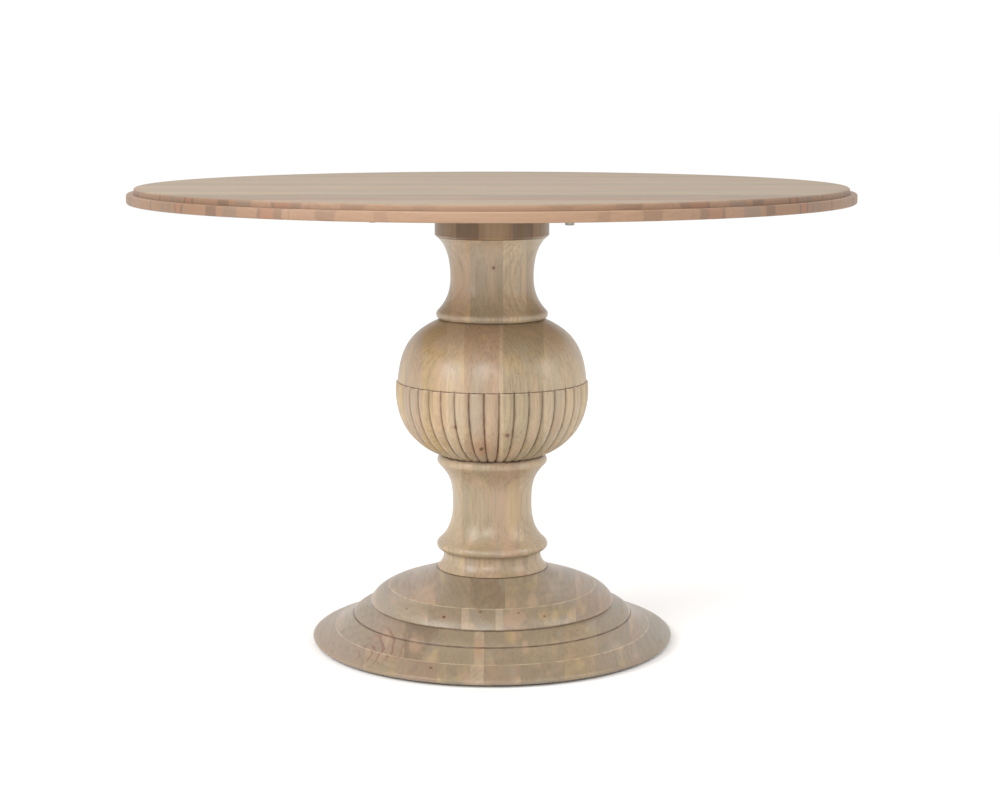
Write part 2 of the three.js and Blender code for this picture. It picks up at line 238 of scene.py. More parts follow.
woodGrain = {
    # stretch (the smaller, the longer the marks along the board), scale, detail and roughness
    "wander": (0.18, 7.0, 2.0, 0.5),
    "wave": (0.05, 30.0, 3.0, 0.5),
    "streaks": (0.02, 300.0, 4.0, 0.6),
    "figure": (0.08, 85.0, 4.0, 0.6),
    "pores": (0.10, 1000.0, 1.0, 0.5),
    "cloud": (0.14, 26.0, 5.0, 0.5),
    "knots": (0.5, 13.0, 0.0, 0.5),
    "worms": (0.4, 30.0, 0.0, 0.5),
}
woodLook = {
    "timber": (3.7, 5.3, 2.9),  # metres, across, along and in depth, over which the boards are dealt
    "ringSpacing": 0.0085,
    "ringWobble": 0.02,
    "ringStrength": 0.17,
    "level": 0.81,  # lightens or darkens every board
    "contrast": 2.0,  # how far the boards differ in lightness
    "hueShare": 0.62,  # how far they differ in hue
    "saturation": 0.9,
    "poreStrength": 0.22,
    "streakStrength": 0.26,
    "cloud": 0.36,
    "knots": 0.17,  # share of the cells that hold a knot
    "worms": 0.20,
    "bands": 0.0,  # strength of the darker and redder heartwood bands
    "bandScale": 24.0,
    "bandWobble": 0.012,
    "endGrain": None,  # (half length of the boards, level of the face) where the ends drink more stain
    "burr": None,  # place, reach, spacing and heart of a patch of reddish figure
    "spots": (),  # (x, y, z, radius) of single knots
    "bandColours": (colour(100, 78, 62), colour(150, 104, 78), colour(120, 104, 88)),
    "burrColour": colour(112, 70, 52),
    "rimColour": colour(160, 120, 94),
    "stainColour": colour(92, 68, 46),
    # dark brown for wax in the creases, also painting the shade that falls in them and under overhanging
    # edges
    "waxAndShadeColour": colour(74, 46, 24),
    "glueColour": colour(204, 184, 154),
    "knotColour": colour(80, 58, 42),
    "haloColour": colour(150, 112, 84),
    "blueStain": colour(143, 137, 122),
    "yellowStain": colour(186, 160, 112),
    "pinkStain": colour(180, 149, 124),
    "roughness": 0.34,
    "bump": 0.15,
}


def boardRamps(spread, boards, reach, dice, look):
    # the tone of each board, and three random numbers of its own
    toneStops = []
    seedStops = []
    middle = [sum(tones[tone][k] for begin, tone in boards) / len(boards) for k in range(3)]
    for i, (begin, tone) in enumerate(boards):
        at = 0 if i == 0 else (begin + reach) / (2 * reach)
        lightness = tones[tone][1] / middle[1]
        scale = look["level"] * lightness ** (look["contrast"] - 1)
        told = [scale * mix(middle[k] * lightness, tones[tone][k], look["hueShare"]) for k in range(3)]
        toneStops.append((at, (*told, 1)))
        seedStops.append((at, (dice.random(), dice.random(), dice.random(), 1)))
    tone = spread.node("ValToRGB", {"stops": toneStops}, {0: spread})
    dealt = spread.node("ValToRGB", {"stops": seedStops}, {0: spread})
    return tone, dealt.parts("SeparateColor")


def woodMaterial(name, boards, across, along, seed, reach=0.64, look=None):
    # boards are (where the board starts, tone) in metres along the across axis, lowest first
    look = {**woodLook, **(look or {})}
    made, tree, shader = newMaterial(name)
    start = Wire(tree, None)
    place = start.node("TexCoord", out=3)
    axes = dict(zip("XYZ", place.parts("SeparateXYZ")))
    side = axes[across]
    length = axes[along]
    depth = axes[({"X", "Y", "Z"} - {across, along}).pop()]
    spread = (side + reach) / (2 * reach)
    tone, seeds = boardRamps(spread, boards, reach, random.Random(seed), look)

    # each board is cut from its own stretch of timber
    sideReach, lengthReach, depthReach = look["timber"]
    sideLocal = side + seeds[0] * sideReach
    lengthLocal = length + seeds[1] * lengthReach
    depthLocal = depth + seeds[2] * depthReach

    def grain(mark, kind="Noise", shift=0.0):
        # a texture drawn out along the board
        stretch, scale, detail, roughness = woodGrain[mark]
        spot = start.node(
            "CombineXYZ", sockets={0: sideLocal + shift, 1: depthLocal - shift, 2: lengthLocal * stretch}
        )
        sockets = {"Vector": spot, "Scale": scale, "Detail": detail, "Roughness": roughness}
        return start.node("Tex" + kind, sockets=sockets)

    # growth rings: faint, uneven, and wandering enough to close into arches on a board's face
    wander = grain("wander")
    wave = grain("wave")
    pithSide = side + (seeds[0] - 0.5) * 0.4
    pithDepth = depth + seeds[1] * 0.2 + 0.04
    fromPith = (pithSide * pithSide + pithDepth * pithDepth) ** 0.5
    ring = fromPith + (wander - 0.5) * (look["ringWobble"] * 5) + (wave - 0.5) * look["ringWobble"]
    turns = start.maths("FRACT", ring / look["ringSpacing"])
    lateWood = turns.above(0.25, 0.9) * (1 - turns.above(0.92, 1.0))
    ringShare = lateWood * wander.above(0.35, 0.65) * look["ringStrength"]

    # fine long streaks and short pores
    streaks = grain("streaks")
    figure = grain("figure")
    poreShare = grain("pores").above(0.60, 0.72)

    value = 0.72 + figure * 0.46 + wander * 0.16
    saturation = look["saturation"] + figure * 0.3
    base = tone.node("HueSaturation", sockets={"Color": tone, "Value": value, "Saturation": saturation})
    base = base.mixed(look["stainColour"], ringShare)
    base = base.mixed(look["stainColour"], streaks.above(0.45, 0.66) * look["streakStrength"])
    base = base.mixed(look["stainColour"], poreShare * look["poreStrength"])

    # spalting: blue-grey, yellow and pink streaks
    for key, shift, low, high in (
        ("blueStain", 1.7, 0.54, 0.66),
        ("yellowStain", 6.1, 0.56, 0.68),
        ("pinkStain", 11.3, 0.54, 0.68),
    ):
        cloud = grain("cloud", shift=shift)
        base = base.mixed(look[key], cloud.above(low, high) * look["cloud"])

    # heartwood bands along the board, which meet the table's edge as blocks of another colour;
    # the rim is a little redder than the face, and the end grain in it is darker
    if look["endGrain"]:
        halfLength, face = look["endGrain"]
        rim = 1 - depth.above(face - 1.5 * mm, face - 0.5 * mm)
        base = base.mixed(look["rimColour"], rim * 0.5)
        sockets = {"W": side + (wave - 0.5) * look["bandWobble"], "Scale": look["bandScale"], "Detail": 2.0}
        band = start.node("TexNoise", {"noise_dimensions": "1D"}, sockets)
        nearEnd = start.maths("ABSOLUTE", length / halfLength).above(0.12, 0.8)
        shown = look["bands"] * (0.12 + rim * (0.07 + nearEnd * 0.81))
        for i, (low, high) in enumerate(((0.54, 0.55), (0.62, 0.63), (0.43, 0.42))):
            base = base.mixed(look["bandColours"][i], band.above(low, high) * shown)
        base = base.mixed(look["stainColour"], rim * nearEnd * 0.46)

    # small knots with a warmer halo, and worm marks
    bent = start.node("TexNoise", sockets={"Vector": place, "Scale": 55.0, "Detail": 3.0})
    knotCell = grain("knots", "Voronoi")
    knotPick = Wire(tree, knotCell.socket.node.outputs[1]).parts("SeparateColor")[0]
    knotHere = knotPick.above(1 - look["knots"], 1.01 - look["knots"])
    knotNear = knotCell + (bent - 0.5) * 0.12
    base = base.mixed(look["haloColour"], (1 - knotNear.above(0.05, 0.30)) * knotHere * 0.55)
    knot = (1 - knotNear.above(0.015, 0.06)) * knotHere
    base = base.mixed(look["knotColour"], knot * 0.9)
    for x, y, z, size in look["spots"]:
        away = place.node("VectorMath", {"operation": "DISTANCE"}, {0: place, 1: (x, y, z)}, out=1)
        edge = away / size + (bent - 0.5) * 1.6
        base = base.mixed(look["haloColour"], (1 - edge.above(0.8, 2.4)) * 0.4)
        base = base.mixed(look["knotColour"], (1 - edge.above(0.5, 1.2)) * 0.85)
    wormCell = grain("worms", "Voronoi", shift=2.3)
    wormPick = Wire(tree, wormCell.socket.node.outputs[1]).parts("SeparateColor")[0]
    wormHere = wormPick.above(1 - look["worms"], 1.01 - look["worms"])
    wormNear = wormCell + (bent - 0.5) * 0.14
    worm = (1 - wormNear.above(0.015, 0.05)) * wormHere
    base = base.mixed(look["knotColour"], worm * 0.85)

    # a patch of reddish figure that curves round its heart
    burr = look["burr"]
    if burr:
        away = place.node("VectorMath", {"operation": "DISTANCE"}, {0: place, 1: burr["place"]}, out=1)
        heart = place.node("VectorMath", {"operation": "DISTANCE"}, {0: place, 1: burr["heart"]}, out=1)
        ripple = heart / burr["spacing"] + (wander - 0.5) * 3.2 + (bent - 0.5) * 0.7
        lines = start.maths("FRACT", ripple).above(0.62, 0.97)
        within = 1 - (away / burr["reach"] + (bent - 0.5) * 0.5).above(0.4, 1.0)
        base = base.mixed(look["burrColour"], within * (0.1 + lines * 0.62))

    # dark wax left in the creases, with painted shade there and under the overhanging edges; pale glue in the
    # open joints
    wearAndShade = start.node("Attribute", {"attribute_name": "creaseShadeAndGlue"}, out=2)
    base = base.mixed(look["waxAndShadeColour"], wearAndShade.above(0.0, 1.0) * (0.5 + bent.above(0.3, 0.65) * 0.45))
    base = base.mixed(look["glueColour"], (0 - wearAndShade).above(0.0, 1.0) * (0.1 + bent.above(0.35, 0.6) * 0.3))

    tree.links.new(base.socket, shader.inputs["Base Color"])
    rough = look["roughness"] + (streaks - 0.5) * 0.16 + (figure - 0.5) * 0.2 + worm * 0.2
    tree.links.new(rough.socket, shader.inputs["Roughness"])
    height = streaks * 0.35 - poreShare * 0.5 - lateWood * 0.1 - worm * 1.5 - knot * 0.5
    bump = start.node("Bump", sockets={"Strength": look["bump"], "Distance": 0.0006, "Height": height})
    tree.links.new(bump.socket, shader.inputs["Normal"])
    return made


# metal and nylon

metalLook = {
    "bolt": {"tint": colour(176, 172, 164), "wearAndShade": colour(132, 128, 122), "roughness": 0.5},
    "screw": {"tint": colour(176, 158, 112), "wearAndShade": colour(120, 100, 66), "roughness": 0.38},
    "brass": {"tint": colour(190, 160, 98), "wearAndShade": colour(130, 104, 58), "roughness": 0.36},
    "rod": {"tint": colour(160, 160, 160), "wearAndShade": colour(104, 104, 106), "roughness": 0.36},
}
nylonLook = {"tint": colour(66, 62, 58), "scuffed": colour(96, 90, 84), "roughness": 0.55}


def metalMaterial(name, tint, wearAndShade, roughness):
    # rolled and plated steel: cloudy plating with a fine drawn grain
    made, tree, shader = newMaterial(name)
    start = Wire(tree, None)
    place = start.node("TexCoord", out=3)
    cloud = start.node("TexNoise", sockets={"Vector": place, "Scale": 240.0, "Detail": 4.0})
    drawn = start.node("VectorMath", {"operation": "MULTIPLY"}, {0: place, 1: (1.0, 1.0, 0.1)})
    scratch = start.node("TexNoise", sockets={"Vector": drawn, "Scale": 1600.0, "Detail": 2.0})
    tinted = cloud.above(0.35, 0.7).tinted(tint, wearAndShade)
    tree.links.new(tinted.socket, shader.inputs["Base Color"])
    tree.links.new((roughness + (scratch - 0.5) * 0.3).socket, shader.inputs["Roughness"])
    bump = start.node("Bump", sockets={"Strength": 0.15, "Distance": 0.0002, "Height": scratch})
    tree.links.new(bump.socket, shader.inputs["Normal"])
    shader.inputs["Metallic"].default_value = 1
    return made


def nylonMaterial():
    # moulded nylon, scuffed where it slides
    made, tree, shader = newMaterial("glideNylon")
    start = Wire(tree, None)
    place = start.node("TexCoord", out=3)
    scuff = start.node("TexNoise", sockets={"Vector": place, "Scale": 420.0, "Detail": 5.0, "Roughness": 0.7})
    look = nylonLook
    tinted = scuff.above(0.48, 0.66).tinted(look["tint"], look["scuffed"])
    tree.links.new(tinted.socket, shader.inputs["Base Color"])
    tree.links.new((look["roughness"] + scuff * 0.2).socket, shader.inputs["Roughness"])
    bump = start.node("Bump", sockets={"Strength": 0.2, "Distance": 0.0002, "Height": scuff})
    tree.links.new(bump.socket, shader.inputs["Normal"])
    return made


# modelling helpers

weld = 0.001 * mm
snap = 0.01 * mm
sharpAngle = 32  # degrees


def curve(start, lean1, lean2, end, steps):
    # points after the start of a bezier through (radius, z) places
    knots = [Vector((*spot[:2], 0)) for spot in (start, lean1, lean2, end)]
    return [(p.x, p.y) for p in interpolate_bezier(*knots, steps + 1)[1:]]


def sweep(start, end, leans, steps=20):
    # a curve whose control points are given as shares of its run in radius and in height
    controls = [(mix(start[0], end[0], across), mix(start[1], end[1], up)) for across, up in leans]
    return curve(start, *controls, end, steps)


def bead(foot, head, swell, steps=14):
    # a rounded moulding that swells past both its edges
    lean = 0.3
    lower = (foot[0] + swell, mix(foot[1], head[1], lean))
    upper = (head[0] + swell, mix(head[1], foot[1], lean))
    return curve(foot, lower, upper, head, steps)


def mix(a, b, share):
    return a + (b - a) * share


def shade(bm):
    # smooth faces, sharp where two of them meet at more than the angle
    for face in bm.faces:
        face.smooth = True
    for edge in bm.edges:
        if len(edge.link_faces) == 2 and edge.calc_face_angle(0) > math.radians(sharpAngle):
            edge.smooth = False


def turned(outline, around, closed=True):
    # spins (radius, z) or (radius, z, crease) points round Z; a crease value above nought paints dark wax and
    # shade, one below nought pale glue
    bm = bmesh.new()
    creaseShadeAndGlue = bm.verts.layers.float.new("creaseShadeAndGlue")
    ring = []
    for point in outline:
        vert = bm.verts.new((point[0], 0, point[1]))
        vert[creaseShadeAndGlue] = point[2] if len(point) > 2 else 0
        ring.append(vert)
    pairs = zip(ring, ring[1:] + ring[:1]) if closed else zip(ring, ring[1:])
    edges = [bm.edges.new(pair) for pair in pairs]
    bmesh.ops.spin(
        bm, geom=ring + edges, cent=(0, 0, 0), axis=(0, 0, 1),
        angle=2 * math.pi, steps=around, use_merge=True,
    )
    bmesh.ops.remove_doubles(bm, verts=bm.verts, dist=weld)
    bmesh.ops.recalc_face_normals(bm, faces=bm.faces)
    return bm


def finishPiece(name, bm, material, node):
    # every piece rides the one body and stands in for its node
    mesh = bpy.data.meshes.new(name)
    shade(bm)
    bm.to_mesh(mesh)
    bm.free()
    mesh.materials.append(material)
    made = bpy.data.objects.new(name, mesh)
    bpy.context.collection.objects.link(made)
    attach(made, "root")
    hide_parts(node)


# the top

topShape = {
    "stepWidth": 12.5 * mm,
    "stepHeight": 9.5 * mm,
    "arris": 2.6 * mm,
    "footArris": 4.16 * mm,
    "around": 360,
    "wood": {
        "ringWobble": 0.008, "ringStrength": 0.2, "bands": 0.85, "roughness": 0.5, "level": 0.53,
        "contrast": 2.8, "hueShare": 1.0, "streakStrength": 0.26, "cloud": 0.08, "knots": 0.08, "worms": 0.06,
    },
}
boardCount = sum(1 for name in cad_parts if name.startswith("top_board_"))
boardBoxes = [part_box(f"top_board_{i + 1}") for i in range(boardCount)]
boardTones = [
    "clay", "clayPink", "orange", "clayDark", "clay", "clayGrey", "clayPink", "clay",
    "clayGrey", "clay", "clayPink", "clay", "clayGrey", "clay", "clayPink", "clayGrey",
]


def topOutline():
    # from the middle of the underside round the stepped edge to the middle of the face
    bottom = boardBoxes[0][0].z
    top = boardBoxes[0][1].z
    radius = cadBounds[1].x
    upper = radius - topShape["stepWidth"]
    ledge = top - topShape["stepHeight"]
    soft = topShape["arris"]
    footSoft = topShape["footArris"]
    bow = soft * 0.45
    footStart = (radius - footSoft, bottom)
    footEnd = (radius, bottom + footSoft)
    ledgeStart = (radius, ledge - soft)
    ledgeEnd = (radius - soft, ledge)
    faceStart = (upper, top - soft)
    faceEnd = (upper - soft, top)
    return [
        (0, bottom),
        (radius * 0.5, bottom),
        footStart,
        *curve(footStart, (radius - bow, bottom), (radius, bottom + bow), footEnd, 6),
        ledgeStart,
        *curve(ledgeStart, (radius, ledge - bow), (radius - bow, ledge), ledgeEnd, 5),
        (upper + 1 * mm, ledge),
        # painted shade and dark wax in the corner at the foot of the upper step
        (upper + 0.5 * mm, ledge, 0.8),
        (upper, ledge + 0.2 * mm, 0.8),
        (upper, ledge + 0.8 * mm),
        faceStart,
        *curve(faceStart, (upper, top - bow), (upper - bow, top), faceEnd, 5),
        (upper * 0.97, top),
        (upper * 0.6, top),
        (upper * 0.3, top),
        (0, top),
    ]


def topBoards():
    disc = turned(topOutline(), topShape["around"], closed=False)
    stops = [(-0.7, boardTones[0])]
    for i in range(1, boardCount):
        stops.append(((boardBoxes[i - 1][1].y + boardBoxes[i][0].y) / 2, boardTones[i]))
    topLook = {**topShape["wood"], "endGrain": (cadBounds[1].x, boardBoxes[0][1].z)}
    wood = woodMaterial("topWood", stops, "Y", "X", 11, look=topLook)
    for i in range(boardCount):
        board = disc.copy()
        for cut, side in ((i, -1), (i + 1, 1)):
            if 0 < cut < boardCount:
                joint = stops[cut][0]
                everything = board.verts[:] + board.edges[:] + board.faces[:]
                bmesh.ops.bisect_plane(
                    board, geom=everything, plane_co=(0, joint, 0), plane_no=(0, side, 0), clear_outer=True
                )
                cutEdges = [edge for edge in board.edges if edge.is_boundary]
                bmesh.ops.holes_fill(board, edges=cutEdges, sides=0)
        bmesh.ops.recalc_face_normals(board, faces=board.faces)
        finishPiece(f"topBoard{i + 1}", board, wood, f"top_board_{i + 1}")
    disc.free()
    print("top made:", boardCount, "boards")


topBoards()

# the column, from the top down

columnShape = {
    "boreRadius": 6.3 * mm,
    "socketRadius": 25.3 * mm,
    "spigotRadius": 25 * mm,
    "spigotLength": 22 * mm,
    "around": 240,
}
columnBoards = {
    # where each upright board of the glued block starts, from the left
    # the collar takes the darkest tones as painted shadow from the table top above it
    "column_collar": [(-0.2, "tan"), (-0.060, "shade"), (-0.022, "tan"), (0.034, "shade"), (0.068, "tan")],
    "upper_neck": [
        (-0.2, "taupe"), (-0.070, "pink"), (-0.037, "greyTaupe"), (0.018, "beige"), (0.057, "greenTaupe"),
    ],
    "ball": [
        (-0.2, "pink"), (-0.1157, "yellow"), (-0.0765, "beige"), (-0.0456, "pink"),
        (0.0125, "beige"), (0.0173, "greenTaupe"), (0.085, "beige"),
    ],
    "lower_neck": [(-0.2, "beige"), (-0.052, "greenTaupe"), (-0.006, "pink"), (0.046, "beige")],
    "foot_ring": [(-0.2, "beige"), (-0.048, "pink"), (0.012, "taupe"), (0.060, "beige")],
}
columnKnots = {
    # x, y, z and radius
    "upper_neck": ((0.0028, -0.0722, 0.6532, 0.003),),
    "ball": (
        (0.0439, -0.151, 0.4863, 0.0012), (-0.0591, -0.1423, 0.3959, 0.004), (0.0258, -0.1515, 0.3831, 0.005),
    ),
    "foot_ring": ((-0.0034, -0.0838, 0.1518, 0.0016),),
}


def span(node):
    low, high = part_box(node)
    return low.z, high.z


def columnWood(node, seed, **look):
    look["spots"] = columnKnots.get(node, ())
    return woodMaterial(node + "Wood", columnBoards[node], "X", "Z", seed, reach=0.2, look=look)


def hollow(bottom, top, below=0, above=0):
    # the inside of a turned piece, from the top down: the rod's bore, with a socket at either end
    bore = columnShape["boreRadius"]
    wide = columnShape["socketRadius"]
    inside = []
    if above:
        inside += [(wide, top), (wide, top - above), (bore, top - above)]
    else:
        inside += [(bore, top)]
    if below:
        inside += [(bore, bottom + below), (wide, bottom + below), (wide, bottom)]
    else:
        inside += [(bore, bottom)]
    return inside


# the collar's wood is darkened further as painted shadow from the table top
collarShape = {"chamfer": 3 * mm, "wood": {"level": 0.62, "contrast": 1.0, "cloud": 0.1}}


def collar():
    bottom, top = span("column_collar")
    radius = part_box("column_collar")[1].x
    chamfer = collarShape["chamfer"]
    outline = [
        # painted shade and dark wax where the collar meets the upper neck
        (radius - chamfer - 3 * mm, bottom, 0.9),
        (radius - chamfer, bottom, 0.9),
        (radius - chamfer + 0.8 * mm, bottom + 0.8 * mm, 0.1),
        (radius - 0.5 * mm, bottom + chamfer - 0.4 * mm),
        (radius, bottom + chamfer + 0.3 * mm),
        (radius, top - 1 * mm),
        (radius - 1 * mm, top),
        *hollow(bottom, top, below=columnShape["spigotLength"]),
    ]
    wood = columnWood("column_collar", 3, **collarShape["wood"])
    finishPiece("collar", turned(outline, columnShape["around"]), wood, "column_collar")


upperNeckShape = {
    "waist": 71 * mm,
    "waistShare": 0.5,
    "topRadius": 93 * mm,
    "bead": 92 * mm,
    "beadSwell": 4.7 * mm,
    "beadHeight": 15 * mm,
    "footLeans": ((0.72, 0.29), (1, 0.63)),
    "headLeans": ((0, 0.38), (0.2, 0.77)),
    "wood": {"level": 0.9},
}


def upperNeck():
    s = upperNeckShape
    low, high = span("upper_neck")
    bottom = span("ball")[1]
    top = span("column_collar")[0]
    spigot = columnShape["spigotRadius"]
    foot = (s["bead"], bottom + 0.5 * mm)
    head = (s["bead"], bottom + s["beadHeight"])
    waist = (s["waist"], mix(bottom, top, s["waistShare"]))
    rim = (s["topRadius"] - 0.2 * mm, top - 0.8 * mm)
    outline = [
        (spigot, low),
        (spigot, bottom),
        # painted shade and dark wax at the joints with the ball and the collar
        (s["bead"] - 1.5 * mm, bottom, 1),
        (*foot, 0.7),
        *bead(foot, head, s["beadSwell"]),
        *sweep(head, waist, s["footLeans"]),
        *sweep(waist, rim, s["headLeans"]),
        (s["topRadius"] - 0.7 * mm, top, 0.3),
        (spigot, top),
        (spigot, high),
        (columnShape["boreRadius"], high),
        (columnShape["boreRadius"], low),
    ]
    wood = columnWood("upper_neck", 5, **s["wood"])
    finishPiece("upperNeck", turned(outline, columnShape["around"]), wood, "upper_neck")


ballShape = {
    "footRadius": 90.5 * mm,
    "footEdge": 1 * mm,
    "shoulderRadius": 88.5 * mm,
    "equator": 109 * mm,  # height above the ball's foot
    "ribTop": 128 * mm,
    "ribTopInset": 0.9 * mm,
    "footLeans": ((0.74, 0.19), (1, 0.63)),
    "shoulderLeans": ((0.07, 0.5), (0.26, 0.78)),
    "ribs": 40,
    "aroundRib": 14,
    "ribRound": 1.6,
    "standOut": 2.6 * mm,
    "grooveTop": 5.6 * mm,
    "grooveFoot": 8.6 * mm,
    "tickHeight": 8 * mm,
    "tickDepth": 1.3 * mm,
    "tickLeast": 0.15,  # share of the height of the shortest tick
    "grooveShift": 0.03,  # share of a rib that a groove may stray
    "grooveVary": 0.12,  # share of its depth that a groove may vary
    "bunching": 0.8,  # how much closer the mesh stands near the grooves
    "wood": {"level": 0.88, "hueShare": 0.85},
}


def ballOutline(bottom, top, radius):
    s = ballShape
    ribTop = bottom + s["ribTop"]
    foot = (s["footRadius"], bottom + s["footEdge"])
    equator = (radius, bottom + s["equator"])
    crown = (radius - s["ribTopInset"], ribTop - 1.6 * mm)
    shoulder = (crown[0] - s["standOut"], ribTop + 0.5 * mm)
    lineTop = (shoulder[0], shoulder[1] + 0.8 * mm)
    brow = (s["shoulderRadius"], top - 0.4 * mm)
    rise = [(mix(equator[0], crown[0], t * t), mix(equator[1], crown[1], t)) for t in (0.2, 0.4, 0.6, 0.8, 1)]
    # the third values paint dark wax and shade in the joints and in the incised line
    return [
        (s["footRadius"] - 2 * mm, bottom, 0.8),
        foot,
        *sweep(foot, equator, s["footLeans"], 44),
        *rise,
        (crown[0] - 0.5 * mm, ribTop - 0.6 * mm),
        (crown[0] - 1.3 * mm, ribTop - 0.2 * mm, 0.3),
        (shoulder[0] - 0.5 * mm, ribTop, 1),
        (*shoulder, 0.6),
        lineTop,
        *sweep(lineTop, brow, s["shoulderLeans"], 48),
        (s["shoulderRadius"] - 1.5 * mm, top, 0.8),
        *hollow(bottom, top, below=columnShape["spigotLength"], above=columnShape["spigotLength"]),
    ]


def carveRibs(bm, bottom):
    # rounded ribs that meet in narrow grooves, deeper downwards; above the incised line only ticks are left
    s = ballShape
    ribTop = bottom + s["ribTop"]
    creaseShadeAndGlue = bm.verts.layers.float["creaseShadeAndGlue"]
    dice = random.Random(40)
    stray = s["grooveShift"]
    vary = s["grooveVary"]
    grooves = []
    for _ in range(s["ribs"]):
        grooves.append({
            "shift": dice.uniform(-stray, stray),
            "depth": dice.uniform(1 - vary, 1 + vary),
            "tick": dice.uniform(s["tickLeast"], 1.0),
        })
    step = 2 * math.pi / s["ribs"]
    tickTop = ribTop + s["tickHeight"] + 2 * mm
    for vert in bm.verts:
        reach = math.hypot(vert.co.x, vert.co.y)
        if reach < s["footRadius"] - 1 * mm or vert.co.z > tickTop:
            continue
        angle = math.atan2(vert.co.x, -vert.co.y) % (2 * math.pi)
        rib = int((angle + step / 2) // step) % s["ribs"]
        across = ((angle + step / 2) % step) / step * 2 - 1  # -1 and 1 in the grooves, 0 on the crown
        bunched = mix(across, math.sin(across * math.pi / 2), s["bunching"])
        near = grooves[rib if across < 0 else (rib + 1) % s["ribs"]]
        newAngle = (rib + bunched / 2) * step + near["shift"] * step * abs(bunched) ** 3
        power = s["ribRound"]
        hollowness = 1 - (1 - min(1, abs(bunched)) ** power) ** (1 / power)
        if vert.co.z < ribTop + 0.1 * mm:
            share = min(1, max(0, (vert.co.z - bottom) / s["equator"]))
            deep = mix(s["grooveFoot"], s["grooveTop"], share ** 0.8) * near["depth"]
            if vert.co.z > ribTop - 0.1 * mm:
                deep *= 0.35
            reach -= deep * hollowness
            # painted shade and dark wax, darker the deeper into the groove and towards the bottom
            vert[creaseShadeAndGlue] = max(vert[creaseShadeAndGlue], max(0, hollowness * 1.6 - 0.6) * mix(1.0, 0.8, share))
        else:
            fade = max(0, 1 - (vert.co.z - ribTop) / (s["tickHeight"] * near["tick"]))
            reach -= s["tickDepth"] * fade * hollowness ** 3
            # painted shade and dark wax in the ticks, fading upwards
            vert[creaseShadeAndGlue] = max(vert[creaseShadeAndGlue], fade * hollowness ** 2)
        vert.co.x = math.sin(newAngle) * reach
        vert.co.y = -math.cos(newAngle) * reach


def ball():
    s = ballShape
    bottom, top = span("ball")
    outline = ballOutline(bottom, top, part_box("ball")[1].x)
    bm = turned(outline, s["ribs"] * s["aroundRib"])
    carveRibs(bm, bottom)
    finishPiece("turnedBall", bm, columnWood("ball", 8, **s["wood"]), "ball")


lowerNeckShape = {
    "waist": 68.4 * mm,
    "waistShare": 0.47,
    "beadTop": 92 * mm,
    "beadFoot": 93.4 * mm,
    "beadSwell": 2.7 * mm,
    "beadHeight": 12.2 * mm,
    "quirk": 2.5 * mm,
    "lipTop": 90.4 * mm,
    "lip": 92.4 * mm,
    "lipSwell": 6 * mm,
    "lipHeight": 15.8 * mm,
    "lipRelief": 0.9 * mm,
    "foot": 85.7 * mm,
    "footLeans": ((0.72, 0.23), (1, 0.56)),
    "headLeans": ((0, 0.51), (0.14, 0.69)),
}


def lowerNeck():
    s = lowerNeckShape
    low, high = span("lower_neck")
    bottom = span("foot_ring")[1]
    top = span("ball")[0]
    spigot = columnShape["spigotRadius"]
    lipFoot = (s["lip"], bottom + s["lipRelief"])
    lipHead = (s["lipTop"], lipFoot[1] + s["lipHeight"])
    beadHead = (s["beadTop"], top - s["quirk"])
    beadFoot = (s["beadFoot"], beadHead[1] - s["beadHeight"])
    waist = (s["waist"], mix(lipHead[1], beadFoot[1], s["waistShare"]))
    outline = [
        (spigot, low),
        (spigot, bottom),
        # painted shade and dark wax at the joints with the foot ring and the ball
        (s["foot"] - 1 * mm, bottom, 1),
        (s["foot"] + 1 * mm, bottom + 0.2 * mm, 0.9),
        (s["lip"] - 2 * mm, lipFoot[1] - 0.4 * mm, 0.2),
        lipFoot,
        *bead(lipFoot, lipHead, s["lipSwell"]),
        *sweep(lipHead, waist, s["footLeans"]),
        *sweep(waist, beadFoot, s["headLeans"]),
        *bead(beadFoot, beadHead, s["beadSwell"], 12),
        (s["beadTop"] - 0.4 * mm, beadHead[1] + 0.4 * mm, 0.6),
        (s["beadTop"] - 0.6 * mm, top, 1),
        (spigot, top),
        (spigot, high),
        (columnShape["boreRadius"], high),
        (columnShape["boreRadius"], low),
    ]
    wood = columnWood("lower_neck", 13)
    finishPiece("lowerNeck", turned(outline, columnShape["around"]), wood, "lower_neck")


footRingShape = {"leans": ((0.66, 0.18), (1.59, 0.58))}


def footRing():
    top = span("foot_ring")[1]
    bottom = span("dome_upper")[1]
    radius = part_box("foot_ring")[1].x
    neck = lowerNeckShape["foot"]
    wide = columnShape["socketRadius"]
    foot = (radius - 0.2 * mm, bottom + 1 * mm)
    outline = [
        # painted shade and dark wax where the foot ring sits on the dome
        (radius - 1.5 * mm, bottom, 1),
        (radius - 0.4 * mm, bottom + 0.3 * mm, 0.7),
        foot,
        *sweep(foot, (neck, top - 0.6 * mm), footRingShape["leans"]),
        (neck - 0.6 * mm, top, 0.9),
        (wide, top),
        (wide, bottom),
    ]
    wood = columnWood("foot_ring", 17)
    finishPiece("footRing", turned(outline, columnShape["around"]), wood, "foot_ring")


collar()
upperNeck()
ball()
lowerNeck()
footRing()
print("column made")

# the base

